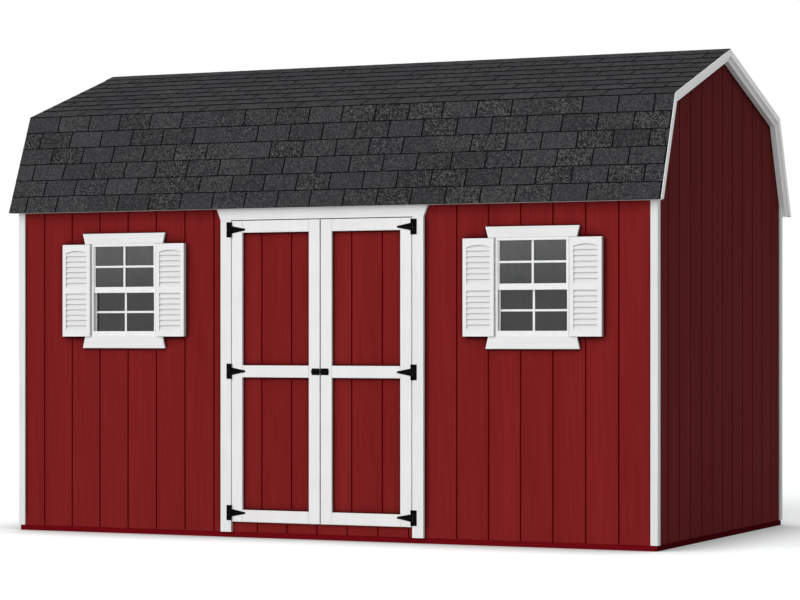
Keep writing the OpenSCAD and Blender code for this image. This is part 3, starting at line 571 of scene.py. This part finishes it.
def solid_boxes(node):
    """The lowest and highest corner of each separate solid in a frame piece."""
    shape = bmesh.new()
    shape.from_mesh(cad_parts[node].data)
    bmesh.ops.remove_doubles(shape, verts=shape.verts, dist=1e-6)
    left, boxes = set(shape.verts), []
    while left:
        solid, edge_front = set(), [left.pop()]
        while edge_front:
            vert = edge_front.pop()
            solid.add(vert)
            found = {edge.other_vert(vert) for edge in vert.link_edges} & left
            left -= found
            edge_front.extend(found)
        axes = list(zip(*(vert.co for vert in solid)))
        boxes.append((Vector(map(min, axes)), Vector(map(max, axes))))
    shape.free()
    return sorted(boxes, key=lambda box: tuple(round(value, 4) for value in box[0]))


bars = bmesh.new()
for low, high in solid_boxes("window_panes"):
    middle = (low + high) / 2
    front = low.y - bar_depth
    add_block(bars, (middle.x - bar_upright / 2, front, low.z), (middle.x + bar_upright / 2, low.y, high.z))
    for left, right in ((low.x, middle.x - bar_upright / 2), (middle.x + bar_upright / 2, high.x)):
        add_block(bars, (left, front, middle.z - bar_level / 2), (right, low.y, middle.z + bar_level / 2))
bmesh.ops.bevel(bars, geom=bars.edges[:], offset=vinyl_ease, offset_type="OFFSET", affect="EDGES",
                segments=2, profile=0.5, material=-1)
finish_piece(add_piece("window_bars", bars, "building"), vinyl_finish)

# Panes: clear float glass set in the sashes, faintly grey through the edge. Towards the top of the
# windows the panes turn paler and less clear, as a painted reflection.
lower_tint, reflection_tint, reflection_clearness = (0.17, 0.175, 0.18), (0.36, 0.365, 0.37), 0.9
haze_size, haze_dark, haze_pale = 0.12, (0.94, 0.94, 0.94), (1.06, 1.06, 1.06)

glass_finish, glass_shader = new_finish("float_glass", roughness=0.02)
glass_shader.inputs["IOR"].default_value = 1.5
glass_shader.inputs["Specular IOR Level"].default_value = 0.18
pane_low, pane_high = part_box("window_panes")
pane_height = add_node(glass_finish, "SeparateXYZ", {0: object_place(glass_finish)}).outputs["Z"]
# Painted reflection: paler and less clear glass rising towards the top of the panes.
reflection_rise = rising(glass_finish, pane_height, pane_low.z, pane_high.z)
clearness = add_node(glass_finish, "MapRange", {"Value": reflection_rise, 3: 1.0, 4: reflection_clearness})
feed(glass_shader.inputs["Transmission Weight"], clearness.outputs[0])
glass_haze = grain(glass_finish, object_place(glass_finish), (haze_size,) * 3)
glass_tint = tones(glass_finish, reflection_rise, (0.4, lower_tint), (1.0, reflection_tint))
glass_shade = tones(glass_finish, glass_haze, (0.3, haze_dark), (0.7, haze_pale))
feed(glass_shader.inputs["Base Color"], mixed(glass_finish, 1.0, glass_tint, glass_shade, "MULTIPLY"))
dress(glass_finish, "window_panes")

# Shutters: moulded white plastic with an arched upper field of slats, screwed flat to the siding. The
# mould gives their faces a faint wood grain.
plastic_low, plastic_high = (0.735, 0.74, 0.74), (0.79, 0.795, 0.795)
slat_start, slat_full, slat_shade = 0.0006, 0.005, (0.88, 0.88, 0.88)

shutter_finish, shutter_shader = new_finish("moulded_shutter", roughness=0.4)
shutter_place = object_place(shutter_finish)
shutter_grain = grain(shutter_finish, shutter_place, upright_marks, detail=4.0)
shutter_white = tones(shutter_finish, shutter_grain, (0.3, plastic_low), (0.7, plastic_high))
# Painted shade: the slats, set back behind the shutter's front, are painted darker.
shutter_depth = add_node(shutter_finish, "SeparateXYZ", {0: shutter_place}).outputs["Y"]
shutter_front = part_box("shutters")[0].y
slat_depth = rising(shutter_finish, shutter_depth, shutter_front + slat_start, shutter_front + slat_full)
slat_painted_shade = mixed(shutter_finish, slat_depth, unshaded, slat_shade)
feed(shutter_shader.inputs["Base Color"], mixed(shutter_finish, 1.0, shutter_white, slat_painted_shade, "MULTIPLY"))
relief(shutter_finish, shutter_shader, shutter_grain, depth=0.0003, strength=0.2)
dress(shutter_finish, "shutters")

# Ledges on the backs of the leaves: bare softwood lumber, planed on all sides. They are screwed across
# the panels to keep them flat.
dress(lumber("lumber_ledges", along=0), "left_door_ledges", "right_door_ledges")

# Hinges and latch: stamped steel under black powder coat. Each part is held by pan-head screws with a
# recess for the driver, coated like the rest.
steel_low, steel_high = (0.0014, 0.0014, 0.0015), (0.0030, 0.0030, 0.0032)
steel_gloss = 0.03
steel_ease = 0.0005
orange_peel = 0.003

steel_finish, steel_shader = new_finish("black_powder_coat", roughness=0.46)
steel_shader.inputs["Specular IOR Level"].default_value = steel_gloss
coat = grain(steel_finish, object_place(steel_finish), (orange_peel,) * 3, detail=2.0)
feed(steel_shader.inputs["Base Color"], tones(steel_finish, coat, (0.3, steel_low), (0.7, steel_high)))
relief(steel_finish, steel_shader, coat, depth=0.0002, strength=0.3)
finish_piece(eased_copy("hinge_plates", "building", steel_ease), steel_finish)
for side in ("left", "right"):
    for part in ("_hinge_straps", "_latch"):
        finish_piece(eased_copy(side + part, side + "_door", steel_ease), steel_finish)

screw_radius, screw_height = 0.0042, 0.0018
crown_radius = 0.72 * screw_radius
drive_width, drive_depth = 0.0026, 0.0010
metal_thickness = 0.0025
steel_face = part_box("door_casings")[0].y - metal_thickness
plate_screw_places = ((0.018, 0.14), (0.011, 0.5), (0.018, 0.86))
strap_screw_reaches = (0.024, 0.055, 0.088)
latch_screw_shares, latch_screw_inset = (0.16, 0.84), 0.006


def add_screw(shape, x, face_y, z):
    """Adds a pan-head screw that stands on a face looking towards -Y."""
    place = Matrix.Translation((x, face_y - screw_height / 2, z)) @ Matrix.Rotation(math.pi / 2, 4, "X")
    head = bmesh.ops.create_cone(shape, cap_ends=True, segments=12, radius1=screw_radius,
                                 radius2=crown_radius, depth=screw_height, matrix=place)["verts"]
    faces = {face for vert in head for face in vert.link_faces}
    top = min(faces, key=lambda face: face.calc_center_median().y)
    bmesh.ops.inset_individual(shape, faces=[top], thickness=crown_radius - drive_width / 2)
    drive = bmesh.ops.extrude_discrete_faces(shape, faces=[top])["faces"]
    bmesh.ops.translate(shape, verts=drive[0].verts, vec=(0, drive_depth, 0))


def screw_set(name, body, places):
    shape = bmesh.new()
    for x, face_y, z in places:
        add_screw(shape, x, face_y, z)
    finish_piece(add_piece(name, shape, body), steel_finish)


plate_screws = []
for low, high in solid_boxes("hinge_plates"):
    outer = low.x if low.x < 0 else high.x
    inward = 1 if outer < 0 else -1
    for inset, share in plate_screw_places:
        plate_screws.append((outer + inward * inset, steel_face, low.z + share * (high.z - low.z)))
screw_set("hinge_plate_screws", "building", plate_screws)

for side, inward in (("left", 1), ("right", -1)):
    leaf_screws = []
    for low, high in solid_boxes(side + "_hinge_straps"):
        root = low.x if inward > 0 else high.x
        for reach in strap_screw_reaches:
            leaf_screws.append((root + inward * reach, steel_face, (low.z + high.z) / 2))
    low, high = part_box(side + "_latch")
    for share in latch_screw_shares:
        for z in (low.z + latch_screw_inset, high.z - latch_screw_inset):
            leaf_screws.append((low.x + share * (high.x - low.x), steel_face, z))
    screw_set(side + "_leaf_screws", side + "_door", leaf_screws)

# Stage: a pale studio floor under an even white sky, one broad sun from the front left, and a camera
# far off at head height with a long lens, shifted up so that walls stay upright.
sky_level, floor_level = 0.48, 0.38
sun_level, sun_width = 2.6, math.radians(70)
sun_from = Vector((-0.35, -0.87, 0.33))
floor_bounce, floor_seen = (0.55,) * 3, (0.925, 0.97, 0.97)
painted_contact_reach = 0.5
camera_place = Vector((7.3196, -16.0562, 1.232))
camera_turn, camera_lens = math.radians(24.638), 123.07
camera_side, camera_rise = 0.0008, 0.0454
floor_span = 120.0


def seen_directly(finish_or_world):
    """1 for what the camera, a reflection or glass shows, and 0 for light on its way to a surface."""
    rays = add_node(finish_or_world, "LightPath", {}).outputs
    mirrored = arithmetic(finish_or_world, "MAXIMUM", rays["Is Glossy Ray"], rays["Is Transmission Ray"])
    return arithmetic(finish_or_world, "MAXIMUM", rays["Is Camera Ray"], mirrored)


sky = bpy.data.worlds.new("white_sky")
sky.use_nodes = True
bpy.context.scene.world = sky
sky_strength = add_node(sky, "MapRange", {"Value": seen_directly(sky), 3: sky_level, 4: 1.0}).outputs[0]
backdrop = sky.node_tree.nodes["Background"]
backdrop.inputs["Color"].default_value = (1, 1, 1, 1)
feed(backdrop.inputs["Strength"], sky_strength)

floor_shape = bmesh.new()
bmesh.ops.create_grid(floor_shape, x_segments=1, y_segments=1, size=floor_span / 2)
floor_mesh = bpy.data.meshes.new("studio_floor")
floor_shape.to_mesh(floor_mesh)
floor_shape.free()
studio_floor = bpy.data.objects.new("studio_floor", floor_mesh)
bpy.context.scene.collection.objects.link(studio_floor)
floor_finish, floor_shader = new_finish("pale_floor", roughness=1.0)
# Painted shadow: the floor darkens close to the building, in its seen tone and its glow. Its seen tone is
# faintly cyan, to cancel red light bounced from the walls.
painted_contact_shade = add_node(floor_finish, "AmbientOcclusion", {"Distance": painted_contact_reach}, samples=16).outputs["AO"]
floor_shaded = mixed(floor_finish, painted_contact_shade, (0.0, 0.0, 0.0), floor_seen)
floor_tone = mixed(floor_finish, seen_directly(floor_finish), floor_bounce, floor_shaded)
feed(floor_shader.inputs["Base Color"], floor_tone)
floor_shader.inputs["Specular IOR Level"].default_value = 0.0
floor_shader.inputs["Emission Color"].default_value = (1, 1, 1, 1)
floor_glow = arithmetic(floor_finish, "MULTIPLY", seen_directly(floor_finish), floor_level)
floor_glow = arithmetic(floor_finish, "MULTIPLY", floor_glow, painted_contact_shade)
feed(floor_shader.inputs["Emission Strength"], floor_glow)
floor_mesh.materials.append(floor_finish)

sun_lamp = bpy.data.lights.new("broad_sun", "SUN")
sun_lamp.energy = sun_level
sun_lamp.angle = sun_width
sun = bpy.data.objects.new("broad_sun", sun_lamp)
sun.rotation_euler = sun_from.to_track_quat("Z", "Y").to_euler()
sun.visible_glossy = False
bpy.context.scene.collection.objects.link(sun)

lens = bpy.data.cameras.new("long_lens")
lens.lens = camera_lens
lens.sensor_width = 36.0
lens.shift_x, lens.shift_y = camera_side, camera_rise
lens.clip_end = 500.0
camera = bpy.data.objects.new("long_lens", lens)
camera.location = camera_place
camera.rotation_euler = (math.pi / 2, 0, camera_turn)
bpy.context.scene.collection.objects.link(camera)
bpy.context.scene.camera = camera
bpy.context.scene.view_settings.view_transform = "Standard"
